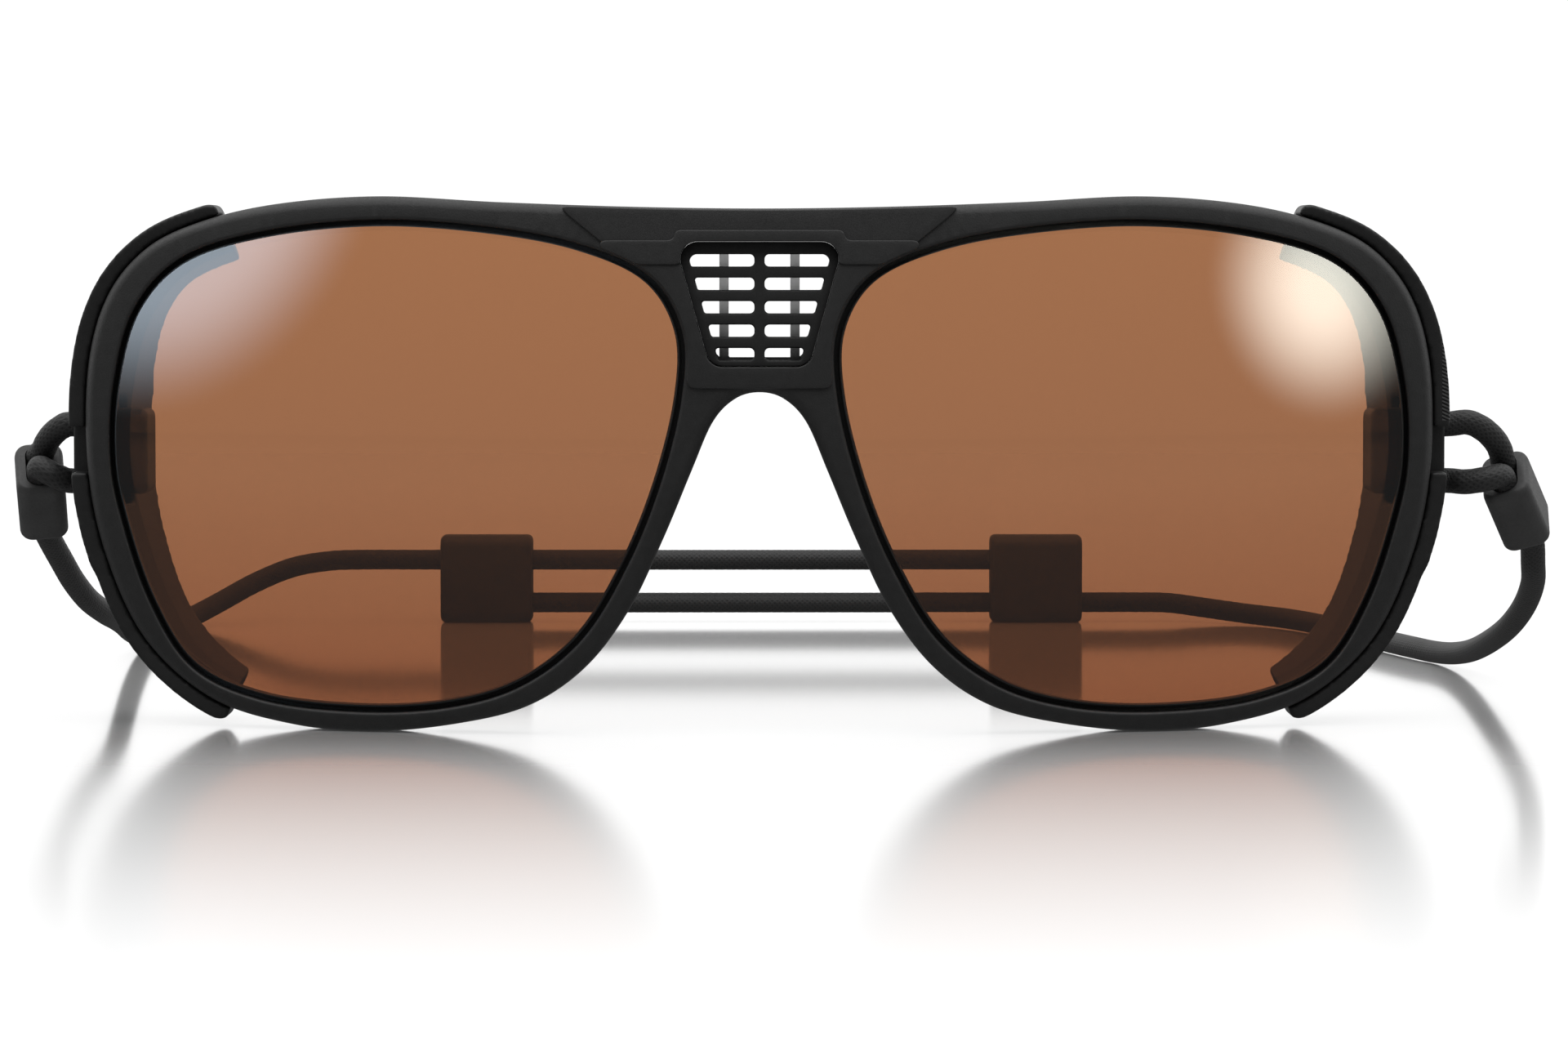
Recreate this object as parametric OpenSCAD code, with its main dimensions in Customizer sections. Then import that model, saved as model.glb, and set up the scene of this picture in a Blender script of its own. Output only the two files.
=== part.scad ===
// Glacier glasses: wrapped front frame with two tinted lenses, a vented bridge,
// side shields, and an adjustable neck cord in place of temple arms.
// X is across the face, +Y points rearward to the wearer, Z is up.
// The glasses stand on the bottoms of the rims and on the two cord sliders.

/* [Frame] */
// Radius of the spherical front surface
wrap_r = 160; // [150:1:200]
// Depth of the rims behind the front surface
rim_depth = 6; // [5:0.1:7]
// Forward end of the frame, measured from the middle of the body of the glasses
front_y = -19; // [-20:0.5:-18]

/* [Lenses] */
// Thickness of the raised middle of a lens
lens_face_t = 1.3; // [1:0.1:1.6]
// Thickness of the edge that sits in the groove of the rim
lens_edge_t = 1.2; // [1:0.1:1.4]
// How far the front of a lens lies behind the front of the rim
lens_recess = 0.6; // [0.4:0.1:0.9]
// Open line around the raised middle of a lens
reveal_gap = 0.5; // [0.3:0.1:0.7]

/* [Bridge] */
// How far the bridge cover stands in front of the frame
cover_t = 0.7; // [0.5:0.1:1]
// Height of one vent slot
slot_h = 1.3; // [1:0.1:1.4]
// Distance from one vent slot to the next
slot_pitch = 2.5; // [2.4:0.02:2.6]

/* [Side shields] */
// Gap between a rim and the lip of its shield
lip_gap = 0.15; // [0.1:0.05:0.3]
// How far the lip of a shield reaches beyond the rim
lip_out = 2.2; // [1.8:0.1:2.6]
// How much less the lip reaches out at its upper end
lip_ease = 0.6; // [0:0.1:0.8]
// Thickness of a shield wall
shield_t = 1.4; // [1.2:0.1:1.8]

/* [Cord] */
// Diameter of the cord
cord_d = 2.8; // [2.6:0.1:3]
// Diameter of the holes that hold or guide the cord
hole_d = 3; // [2.9:0.05:3.2]

/* [Beads and sliders] */
// Width of a bead
bead_w = 5.4; // [5.2:0.1:6]
// Depth of a bead, across both strands
bead_d = 7.2; // [7.1:0.1:7.6]
// Length of a bead along the cord
bead_l = 8.8; // [8.6:0.1:9]
// Width of a slider along the cord
slider_w = 12.8; // [12:0.1:13]
// Height of a slider
slider_h = 12.2; // [12:0.1:13]
// Front to back size of a slider
slider_d = 6.4; // [6:0.1:7]

/* [Hidden] */

LEFT = 0;
RIGHT = 1;
side_sign = [-1, 1];
fit = 0.05;
frame_black = [0.13, 0.13, 0.135];
vent_black = [0.08, 0.08, 0.085];
shield_black = [0.11, 0.11, 0.115];
cord_black = [0.1, 0.1, 0.1];
bead_black = [0.15, 0.15, 0.155];
copper_tint = [0.62, 0.36, 0.2, 0.75];
metal_grey = [0.55, 0.56, 0.58];

// centre height of the spherical wrap, and its smoothness
wrap_z = 30;
wrap_fn = 360;
curve_steps = 3;

// right half of the frame's outline, clockwise from the top middle to the nose arch
frame_half = [
    [0, 56.6], [14, 56.8], [28, 57.3], [41, 57.95], [52, 57.2], [60.4, 55.4], [67, 52.4],
    [71.6, 47], [73.8, 39], [73.8, 28], [71.8, 18.6], [67.4, 9.5], [60, 3.2], [51, 0.6],
    [42, 0.1], [33, 1], [25, 3.1], [18.8, 7.3], [14, 13.6], [10.3, 21.3], [7.3, 28.5],
    [5, 33.8], [2.6, 36.3], [0, 37]
];
// visible outline of the right lens, clockwise
lens_outline = [
    [70.6, 29.5], [69.4, 23], [66.3, 14], [61.7, 7], [54, 3.7], [43.7, 2.7], [34, 3.3],
    [26, 5.7], [19.4, 10.8], [14.5, 18.8], [11, 27.5], [8.8, 36.5], [8.8, 43.5], [12.2, 49],
    [19.5, 52.3], [29, 54.1], [41, 54.9], [53, 53.8], [62.5, 51], [67.9, 45.5], [70.2, 37.5]
];
groove = 1.3;
rear_lap = 0.3;
// flats under the rims that the glasses stand on
foot_x = 38;
foot_w = 8;
foot_h = 1;

// bridge cover: outline of the thin plate, and of the raised band on it
cover_gap = 0.3;
cover_plate_t = 0.4;
cover_plate = [[21.9, 58], [21.9, 57], [13.9, 50.6], [13.9, 37.4]];
cover_band = [[9, 54.3], [9.2, 53.2], [17, 53.2], [13.9, 50.6]];
// vent opening: centres of its round corners, their radius, and the slots behind it
vent_corners = [[6.6, 51.2], [3.9, 41.6]];
vent_r = 1.9;
slot_top = 51.7;
slot_rows = 5;
slot_reach = 7.55;
slot_taper = 0.74;
mullion_w = 1.1;
grille_depth = [1.1, 2.7];
ribs_depth = [2.75, 4];
ribs_ring = 1;
rib_x = 3.8;
rib_w = 1;

// nose pads, moulded on the back of the rims beside the nose
pad_ends = [[14.5, 15.5], [10.4, 25]];
pad_r = 1.4;
pad_t = 2;

// side shields: the stretch of outline they cover, and their shape from front to back
shield_span = [4.8, 12.25];
shield_steps = 32;
lip_depth = [2, 8.5];
flange_in = 2.4;
wall_depth = [16.5, 20];
wall_in = [3.6, 5.8];
wall_ease = 1.6;
lip_notch = [27.7, 32.7];
lug_window = [24, 35.7];
window_y = [24.1, 31];

// lug behind each temple, with two blind holes for the ends of the cord loop
lug_inner = [[67, 21.5, 25.3], [73.2, 30.5, 34.6]];
lug_outer = [[71, 24.3, 24.4], [76, 30.5, 35.3]];
hole_y = 27;
hole_z = [26.5, 32.8];
hole_floor = 72.5;

// beads: centre, tilt of the mouth towards the front, lean seen from the front, and turn
// seen from above
bead_centre = [[-80.7, 14, 25], [84.95, 13, 23.95]];
bead_tilt = [45, 41];
bead_lean = [-4, -15];
bead_turn = [7, -17];
bead_r = 1.3;
bead_floor = 1.8;
strand_gap = 3.1;
crimp_l = 2.4;

// sliders: middle of each, and the heights of their lower and upper holes
slider_x = [-38.2, 38.7];
slider_y = 169;
slider_r = 1.3;
slider_holes = [2.7, 8.7];
stop_d = 4.4;
stop_l = 3;
stop_wall = 3.6;

// routes of the two cords, from the beads to the middles of the sliders
route_left = [
    [-79.9, 27, 16.2], [-79.3, 32.5, 13.7], [-78.4, 38.5, 11.3], [-77.5, 47, 9.3],
    [-77.7, 60, 7.7], [-78.7, 77, 5.9], [-79.6, 94, 3.8], [-80.2, 110, 2.2], [-80.4, 124, 1.5], [-80.2, 137, 1.5],
    [-79.2, 147, 1.5], [-77.6, 155, 1.9], [-74.8, 162, 3.3], [-70.5, 167, 5.6],
    [-65.5, 169, 7.6], [-60.5, 169, 8.5], [-56, 169, 8.7], [-47, 169, 8.7], [-38, 169, 8.7]
];
route_right = [
    [87.9, 20, 16.6], [88.7, 26, 14], [88.9, 34, 11], [88.5, 43, 8.1], [87.9, 54, 5.6],
    [87.3, 68, 3.3], [86.5, 80, 2], [85.2, 89, 1.5], [83.4, 97, 1.5], [81.3, 108, 1.5],
    [78.9, 122, 1.5], [76.1, 139, 1.5], [72.6, 152, 1.5], [67.6, 161.5, 1.6],
    [62, 167, 2.1], [57.5, 169, 2.6], [53, 169, 2.7], [46, 169, 2.7], [38, 169, 2.7]
];
routes = [route_left, route_right];
// free stretches of the loop strands, from the bead to the lug: lower, then upper
loop_routes = [
    [
        [[-80.27, 8.75, 27.75], [-79.8, 7.4, 27.9], [-78.8, 6.8, 27.4], [-77.8, 7.2, 26.9]],
        [[-80.1, 11, 29.7], [-79.5, 10, 30.8], [-78.6, 9, 31.8], [-77.6, 8.3, 32.5]]
    ],
    [
        [[82.85, 8.6, 26.9], [82, 7.3, 27], [80.6, 6.5, 26.7], [78.5, 6.9, 26.4]],
        [[82.8, 10.2, 29.8], [81.9, 9, 31.1], [80.5, 8.2, 32.3], [78.8, 7.9, 33]]
    ]
];
cord_sides = 8;
strand_rings = 8;

// ---- curves ----------------------------------------------------------------

// point at t between b and c on a smooth curve through a, b, c and d
function curve_at(a, b, c, d, t) =
    0.5 * (2 * b + (c - a) * t + (2 * a - 5 * b + 4 * c - d) * t * t
        + (3 * b - a - 3 * c + d) * t * t * t);

// closed smooth curve through points p, with n steps from each to the next
function closed_curve(p, n) = [
    for (i = [0:len(p) - 1], j = [0:n - 1])
        curve_at(p[(i + len(p) - 1) % len(p)], p[i], p[(i + 1) % len(p)],
            p[(i + 2) % len(p)], j / n)
];

function unit(v) = v / norm(v);

// outward direction of a clockwise outline that runs from a to b
function outward(a, b) = unit([a[1] - b[1], b[0] - a[0]]);

// clockwise outline p moved outward by d
function grown(p, d) = [
    for (i = [0:len(p) - 1])
        p[i] + d * outward(p[(i + len(p) - 1) % len(p)], p[(i + 1) % len(p)])
];

// right half of an outline followed by its mirror image
function both_halves(p) = concat(p, [
    for (i = [len(p) - 2:-1:1])
        [-p[i][0], p[i][1]]
]);

frame_curve = closed_curve(both_halves(frame_half), curve_steps);
lens_curve = closed_curve(lens_outline, curve_steps);

// place of the wrapped surface of radius r behind the front of the frame, at x and z
function wrap_y(r, p) =
    front_y + wrap_r - sqrt(r * r - p[0] * p[0] - (p[1] - wrap_z) * (p[1] - wrap_z));

// point v of a bead's own frame, whose Z runs out of the mouth, in the frame of the glasses
function bead_point(side, v) =
    let (
        tilt = bead_tilt[side],
        lean = bead_lean[side],
        turn = bead_turn[side],
        y = v[1] * cos(tilt) - v[2] * sin(tilt),
        z = v[1] * sin(tilt) + v[2] * cos(tilt),
        x = v[0] * cos(lean) + z * sin(lean)
    )
    bead_centre[side] + [
        x * cos(turn) - y * sin(turn),
        x * sin(turn) + y * cos(turn),
        z * cos(lean) - v[0] * sin(lean)
    ];

// ---- building blocks -------------------------------------------------------

// front view shape stood up and run from front to back
module stood(from, to) {
    translate([0, front_y + to, 0])
        rotate([90, 0, 0])
            linear_extrude(to - from)
                children();
}

// layer of a front view shape between two depths behind the wrapped surface
module wrapped(near, far) {
    difference() {
        intersection() {
            stood(-3, 40)
                children();
            translate([0, front_y + wrap_r, wrap_z])
                sphere(wrap_r - near, $fn = wrap_fn);
        }
        translate([0, front_y + wrap_r, wrap_z])
            sphere(wrap_r - far, $fn = wrap_fn);
    }
}

// box between two corners
module block(low, high) {
    translate(low)
        cube(high - low);
}

// tube along points; ref is any direction that the tube never runs along
module tube(points, ref) {
    last = len(points) - 1;
    rings = [
        for (i = [0:last])
            let (
                along = unit(points[min(i + 1, last)] - points[max(i - 1, 0)]),
                across = unit(cross(along, ref)),
                up = cross(across, along)
            )
            for (k = [0:cord_sides - 1])
                points[i] + cord_d / 2
                    * (cos(360 * k / cord_sides) * across + sin(360 * k / cord_sides) * up)
    ];
    walls = [
        for (i = [0:last - 1], k = [0:cord_sides - 1])
            let (a = i * cord_sides + k, b = i * cord_sides + (k + 1) % cord_sides)
            [a, b, b + cord_sides, a + cord_sides]
    ];
    start = [for (k = [cord_sides - 1:-1:0]) k];
    end = [for (k = [0:cord_sides - 1]) last * cord_sides + k];
    polyhedron(rings, concat(walls, [start, end]));
}

// ---- front view shapes -----------------------------------------------------

module frame_shape() {
    union() {
        polygon(frame_curve);
        for (x = [foot_x, -foot_x - foot_w])
            translate([x, 0])
                square([foot_w, foot_h]);
    }
}

module lens_shape(side, d) {
    mirror([side == LEFT ? 1 : 0, 0])
        polygon(grown(lens_curve, d));
}

module vent_shape(d) {
    hull()
        for (corner = vent_corners, x = [-1, 1])
            translate([x * corner[0], corner[1]])
                circle(vent_r + d, $fn = 32);
}

// part of the frame's shape inside a mirrored outline, clear of the lenses and the vent
module cover_shape(half) {
    difference() {
        intersection() {
            frame_shape();
            polygon(concat(half, [for (i = [len(half) - 1:-1:0]) [-half[i][0], half[i][1]]]));
        }
        lens_shape(LEFT, reveal_gap + cover_gap);
        lens_shape(RIGHT, reveal_gap + cover_gap);
        vent_shape(0);
    }
}

module slots_shape() {
    for (row = [0:slot_rows - 1], x = [-1, 1])
        let (w = slot_reach - slot_taper * row - mullion_w / 2)
        translate([x * (mullion_w + w) / 2, slot_top - row * slot_pitch - slot_h / 2])
            square([w, slot_h], center = true);
}

// ---- front -----------------------------------------------------------------

lens_step = lens_recess + lens_face_t;
lens_back = lens_step + lens_edge_t;

module lug(side) {
    mirror([side == LEFT ? 1 : 0, 0, 0])
        translate([0, front_y, 0]) {
            block(lug_inner[0], lug_inner[1]);
            block(lug_outer[0], lug_outer[1]);
        }
}

module lug_holes(side) {
    for (z = hole_z)
        translate([side_sign[side] * hole_floor, front_y + hole_y, z])
            rotate([0, side_sign[side] * 90, 0])
                cylinder(h = lug_outer[1][0] - hole_floor + 1, d = hole_d, $fn = 48);
}

module frame_front() {
    color(frame_black)
        difference() {
            union() {
                wrapped(0, rim_depth)
                    frame_shape();
                lug(LEFT);
                lug(RIGHT);
            }
            for (side = [LEFT, RIGHT]) {
                wrapped(-2, lens_step)
                    lens_shape(side, reveal_gap);
                wrapped(lens_step - fit, lens_back + fit)
                    lens_shape(side, groove + fit);
                wrapped(lens_back, rim_depth + 2)
                    lens_shape(side, -rear_lap);
                lug_holes(side);
            }
            wrapped(-2, rim_depth + 2)
                vent_shape(0);
        }
}

module lens(side) {
    color(copper_tint)
        union() {
            wrapped(lens_recess, lens_step)
                lens_shape(side, 0);
            wrapped(lens_step, lens_back)
                lens_shape(side, groove);
        }
}

module bridge_cover() {
    color(frame_black)
        union() {
            wrapped(-cover_plate_t, -fit / 2)
                cover_shape(cover_plate);
            wrapped(-cover_t, -cover_plate_t / 2)
                cover_shape(cover_band);
        }
}

module vent_grille() {
    color(vent_black)
        wrapped(grille_depth[0], grille_depth[1])
            difference() {
                vent_shape(-fit);
                slots_shape();
            }
}

module vent_ribs() {
    color(vent_black)
        wrapped(ribs_depth[0], ribs_depth[1])
            union() {
                difference() {
                    vent_shape(-fit);
                    vent_shape(-ribs_ring);
                }
                intersection() {
                    vent_shape(-fit);
                    for (x = [-rib_x, rib_x])
                        translate([x - rib_w / 2, slot_top - 2 * slot_pitch * slot_rows])
                            square([rib_w, 3 * slot_pitch * slot_rows]);
                }
            }
}

module nose_pad(side) {
    color(shield_black)
        wrapped(rim_depth + fit / 2, rim_depth + pad_t)
            hull()
                for (end = pad_ends)
                    translate([side_sign[side] * end[0], end[1]])
                        circle(pad_r, $fn = 32);
}

// ---- side shields ----------------------------------------------------------

// closed section of the right shield at step i, as points from front lip to rear edge
function shield_section(i) =
    let (
        u = i / shield_steps,
        t = shield_span[0] + u * (shield_span[1] - shield_span[0]),
        k = floor(t),
        a = curve_at(frame_half[k - 1], frame_half[k], frame_half[k + 1], frame_half[k + 2],
            t - k),
        ahead = curve_at(frame_half[k - 1], frame_half[k], frame_half[k + 1],
            frame_half[k + 2], t - k + 0.01),
        out = outward(a, ahead),
        middle = sin(180 * u),
        depth = wall_depth[0] + middle * (wall_depth[1] - wall_depth[0]),
        inward = wall_in[0] + middle * (wall_in[1] - wall_in[0]) + wall_ease * (1 - u) ^ 4,
        lip = lip_out - lip_ease * (1 - u) * (1 - u),
        front = wrap_y(wrap_r, a),
        back = wrap_y(wrap_r - rim_depth, a) + lip_gap,
        section = [
            [lip_gap, front + lip_depth[0]], [lip, front + lip_depth[0]],
            [lip, front + lip_depth[1]], [shield_t - inward, front + depth],
            [-inward, front + depth], [-flange_in, back + shield_t],
            [-flange_in, back], [lip_gap, back]
        ]
    )
    [for (p = section) [a[0] + p[0] * out[0], p[1], a[1] + p[0] * out[1]]];

module shield_shell() {
    n = 8;
    points = [for (i = [0:shield_steps]) each shield_section(i)];
    walls = [
        for (i = [0:shield_steps - 1], k = [0:n - 1])
            let (a = i * n + k, b = i * n + (k + 1) % n)
            each [[a, b + n, a + n], [a, b, b + n]]
    ];
    cap = [[0, 1, 7], [1, 2, 7], [2, 3, 5], [3, 4, 5], [5, 6, 7], [2, 5, 7]];
    start = [for (f = cap) [f[2], f[1], f[0]]];
    end = [for (f = cap) [for (k = f) shield_steps * n + k]];
    polyhedron(points, concat(walls, start, end));
}

module shield(side) {
    color(shield_black)
        mirror([side == LEFT ? 1 : 0, 0, 0])
            difference() {
                shield_shell();
                block([60, front_y + window_y[0], lug_window[0]],
                    [80, front_y + window_y[1], lug_window[1]]);
                block([60, front_y, lip_notch[0]],
                    [80, front_y + window_y[0] + 1, lip_notch[1]]);
            }
}

// ---- cord loops and beads --------------------------------------------------

module bead_placed(side) {
    translate(bead_centre[side])
        rotate([bead_tilt[side], bead_lean[side], bead_turn[side]])
            children();
}

module strand_pair_shape(d) {
    hull()
        for (y = [-1, 1])
            translate([0, y * strand_gap / 2])
                circle(d = d, $fn = 32);
}

module bead(side) {
    color(bead_black)
        bead_placed(side)
            difference() {
                translate([0, 0, -bead_l / 2])
                    linear_extrude(bead_l)
                        hull()
                            for (x = [-1, 1], y = [-1, 1])
                                translate([x * (bead_w / 2 - bead_r), y * (bead_d / 2 - bead_r)])
                                    circle(bead_r, $fn = 32);
                translate([0, 0, bead_floor - bead_l / 2])
                    linear_extrude(bead_l)
                        strand_pair_shape(hole_d);
                translate([0, 0, -bead_l])
                    cylinder(h = bead_l, d = hole_d, $fn = 48);
            }
}

crimp_z = bead_floor - bead_l / 2;

module crimp(side) {
    color(metal_grey)
        bead_placed(side)
            translate([0, 0, crimp_z + fit])
                linear_extrude(crimp_l)
                    strand_pair_shape(hole_d - 2 * fit);
}

// both strands of a loop: out of the bead's mouth, round, and into the lug's blind holes
module loop(side) {
    start_z = crimp_z + crimp_l + 2 * fit;
    color(cord_black)
        for (k = [0, 1])
            let (y = (k - 0.5) * strand_gap, x = side_sign[side])
            tube(concat(
                [for (z = [start_z, bead_l / 2 - 0.3]) bead_point(side, [0, y, z])],
                loop_routes[side][k],
                [for (d = [lug_outer[1][0] + 0.6, hole_floor + fit])
                    [x * d, front_y + hole_y, hole_z[k]]]
            ), [0, 0.75, 0.65]);
}

// ---- cords and sliders -----------------------------------------------------

module cord(side) {
    color(cord_black)
        tube(concat(
            [for (z = [crimp_z, -bead_l / 2 - 1.6]) bead_point(side, [0, 0, z])],
            routes[side]
        ), [0, 0, 1]);
}

// inner end of a slider's blind hole, where the end of a cord is held
function stop_x(side) = slider_x[side] + side_sign[side] * (slider_w / 2 - stop_wall - stop_l);

// straight cord from the middle of the slider it passes through to its end in the other
module strand(from_side, z) {
    to = stop_x(1 - from_side);
    from = side_sign[from_side] * 38;
    color(cord_black)
        tube([for (i = [0:strand_rings]) [from + (to - from) * i / strand_rings, slider_y, z]],
            [0, 0, 1]);
}

module slider(side) {
    through = slider_holes[1 - side];
    blind = slider_holes[side];
    color(bead_black)
        translate([slider_x[side], slider_y, 0])
            difference() {
                translate([-slider_w / 2, 0, slider_h / 2])
                    rotate([0, 90, 0])
                        linear_extrude(slider_w)
                            hull()
                                for (x = [-1, 1], y = [-1, 1])
                                    translate([x * (slider_h / 2 - slider_r),
                                        y * (slider_d / 2 - slider_r)])
                                        circle(slider_r, $fn = 32);
                translate([-slider_w, 0, through])
                    rotate([0, 90, 0])
                        cylinder(h = 2 * slider_w, d = hole_d, $fn = 48);
                mirror([side == RIGHT ? 1 : 0, 0, 0])
                    translate([0, 0, blind])
                        rotate([0, 90, 0]) {
                            cylinder(h = slider_w, d = hole_d, $fn = 48);
                            translate([0, 0, stop_wall - slider_w / 2])
                                cylinder(h = stop_l + fit, d = stop_d, $fn = 48);
                        }
            }
}

module end_stop(side) {
    x = side_sign[side];
    color(metal_grey)
        translate([stop_x(side), slider_y, slider_holes[side]])
            rotate([0, x * 90, 0])
                cylinder(h = stop_l - fit, d = stop_d - 2 * fit, $fn = 48);
}

frame_front();
lens(LEFT);  // lens_left
lens(RIGHT);  // lens_right
bridge_cover();
vent_grille();
vent_ribs();
nose_pad(LEFT);  // nose_pad_left
nose_pad(RIGHT);  // nose_pad_right
shield(LEFT);  // shield_left
shield(RIGHT);  // shield_right
loop(LEFT);  // loop_left
loop(RIGHT);  // loop_right
bead(LEFT);  // bead_left
bead(RIGHT);  // bead_right
crimp(LEFT);  // crimp_left
crimp(RIGHT);  // crimp_right
cord(LEFT);  // cord_left
cord(RIGHT);  // cord_right
strand(LEFT, slider_holes[1]);  // strand_upper
strand(RIGHT, slider_holes[0]);  // strand_lower
slider(LEFT);  // slider_left
slider(RIGHT);  // slider_right
end_stop(LEFT);  // end_stop_left
end_stop(RIGHT);  // end_stop_right
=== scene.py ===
import math

import bmesh
import bpy
import numpy as np
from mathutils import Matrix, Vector
from mathutils.geometry import delaunay_2d_cdt


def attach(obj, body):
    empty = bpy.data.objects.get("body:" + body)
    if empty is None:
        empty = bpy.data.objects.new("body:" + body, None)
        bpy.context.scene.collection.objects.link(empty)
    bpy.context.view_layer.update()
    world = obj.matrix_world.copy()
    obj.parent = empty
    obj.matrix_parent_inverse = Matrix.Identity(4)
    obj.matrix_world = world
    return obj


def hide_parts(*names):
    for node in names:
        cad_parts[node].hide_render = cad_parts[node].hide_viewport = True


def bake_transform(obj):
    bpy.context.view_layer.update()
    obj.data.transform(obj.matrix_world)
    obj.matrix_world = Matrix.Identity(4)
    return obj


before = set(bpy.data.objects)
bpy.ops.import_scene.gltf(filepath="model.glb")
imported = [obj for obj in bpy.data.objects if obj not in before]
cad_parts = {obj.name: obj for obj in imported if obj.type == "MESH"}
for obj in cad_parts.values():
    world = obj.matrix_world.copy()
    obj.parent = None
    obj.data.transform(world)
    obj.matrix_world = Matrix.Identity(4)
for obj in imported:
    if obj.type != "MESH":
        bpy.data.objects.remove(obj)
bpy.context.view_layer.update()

# Lengths are in millimetres up to the point where a mesh is made, and match the CAD source.
MM = 0.001
SIDES = {"left": -1, "right": 1}
SHARP = 40

# ---- camera ------------------------------------------------------------------

CAMERA_PLACE = (0.0, -619.0, 52.6)
CAMERA_PITCH = 2.825
CAMERA_YAW = 0.249
CAMERA_LENS = 129.375


def make_camera():
    camera = bpy.data.cameras.new("camera")
    camera.lens = CAMERA_LENS
    camera.sensor_width = 36.0
    camera.clip_start = 0.01
    camera.clip_end = 50.0
    holder = bpy.data.objects.new("camera", camera)
    holder.location = Vector(CAMERA_PLACE) * MM
    holder.rotation_euler = (math.radians(90 - CAMERA_PITCH), 0, math.radians(-CAMERA_YAW))
    bpy.context.scene.collection.objects.link(holder)
    bpy.context.scene.camera = holder


make_camera()

# ---- curves ------------------------------------------------------------------


def smooth_curve(points, steps, closed=False):
    """Points on the smooth curve through the given ones, with some steps between two of them."""
    p = np.array(points, float)
    if closed:
        p = np.vstack([p[-1:], p, p[:2]])
    else:
        p = np.vstack([2 * p[:1] - p[1:2], p, 2 * p[-1:] - p[-2:-1]])
    made = []
    for a, b, c, d in zip(p[:-3], p[1:-2], p[2:-1], p[3:]):
        for t in np.arange(steps) / steps:
            made.append(0.5 * (2 * b + (c - a) * t + (2 * a - 5 * b + 4 * c - d) * t * t
                               + (3 * b - a - 3 * c + d) * t**3))
    if not closed:
        made.append(p[-2])
    return np.array(made)


def evenly(points, spacing, closed=False):
    """The same polyline with points about one spacing apart."""
    p = np.vstack([points, points[:1]]) if closed else np.array(points)
    along = np.concatenate([[0], np.cumsum(np.linalg.norm(np.diff(p, axis=0), axis=1))])
    count = max(3, round(along[-1] / spacing))
    at = np.linspace(0, along[-1], count + 1)[: count if closed else count + 1]
    return np.stack([np.interp(at, along, p[:, k]) for k in range(p.shape[1])], axis=1)


def length_of(points):
    return float(np.linalg.norm(np.diff(points, axis=0), axis=1).sum())


def turned(points):
    """A closed outline in the direction in which its outward side is on the right."""
    p = np.array(points, float)
    q = np.roll(p, -1, axis=0)
    area = (p[:, 0] * q[:, 1] - q[:, 0] * p[:, 1]).sum()
    return p if area > 0 else p[::-1]


def grown(outline, distance):
    """A closed outline moved outward by a distance."""
    ahead = np.roll(outline, -1, axis=0) - np.roll(outline, 1, axis=0)
    out = np.stack([ahead[:, 1], -ahead[:, 0]], axis=1)
    return outline + distance * out / np.linalg.norm(out, axis=1)[:, None]


def softened(outline, spacing, times):
    """The same outline evenly spaced, with its corners rounded off."""
    line = evenly(outline, spacing, closed=True)
    for _ in range(times):
        line = (np.roll(line, 1, axis=0) + 2 * line + np.roll(line, -1, axis=0)) / 4
    return line


def rounded(corners, radii, spacing):
    """A closed outline whose corners are arcs of the given radii."""
    p = turned(corners)
    if not np.allclose(p, corners):
        radii = list(radii)[::-1]
    made = []
    for i, (corner, radius) in enumerate(zip(p, radii)):
        back = p[i - 1] - corner
        ahead = p[(i + 1) % len(p)] - corner
        back /= np.linalg.norm(back)
        ahead /= np.linalg.norm(ahead)
        half = math.acos(np.clip(back @ ahead, -1, 1)) / 2
        middle = corner + (back + ahead) / np.linalg.norm(back + ahead) * radius / math.sin(half)
        start = corner + back * radius / math.tan(half)
        end = corner + ahead * radius / math.tan(half)
        a = math.atan2(*(start - middle)[::-1])
        b = math.atan2(*(end - middle)[::-1])
        sweep = (b - a + math.pi) % (2 * math.pi) - math.pi
        steps = max(3, round(radius * abs(sweep) / spacing))
        for t in np.linspace(0, 1, steps + 1):
            angle = a + sweep * t
            made.append(middle + radius * np.array([math.cos(angle), math.sin(angle)]))
    return evenly(np.array(made), spacing, closed=True)


def inside(points, outline):
    """Which of the points lie inside a closed outline."""
    p, q = outline, np.roll(outline, -1, axis=0)
    x, y = points[:, :1], points[:, 1:2]
    crosses = (p[:, 1] > y) != (q[:, 1] > y)
    rise = np.where(q[:, 1] == p[:, 1], 1, q[:, 1] - p[:, 1])
    at = p[:, 0] + (y - p[:, 1]) * (q[:, 0] - p[:, 0]) / rise
    return (crosses & (x < at)).sum(axis=1) % 2 == 1


# ---- meshes ------------------------------------------------------------------


def make_piece(name, points, faces, material, body, slot, replaces=(), blend=None, uv=None, sharp=None):
    """A mesh piece from points in millimetres, tied to its body unless it is given a blend."""
    mesh = bpy.data.meshes.new(name)
    mesh.from_pydata([tuple(p) for p in np.array(points) * MM], [], [tuple(f) for f in faces])
    if uv is not None:
        layer = mesh.uv_layers.new(name="UVMap")
        layer.data.foreach_set("uv", np.array(uv, np.float32).ravel())
    piece = bpy.data.objects.new(name, mesh)
    bpy.context.scene.collection.objects.link(piece)
    return dress(piece, material, body, replaces, blend, sharp)


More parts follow.
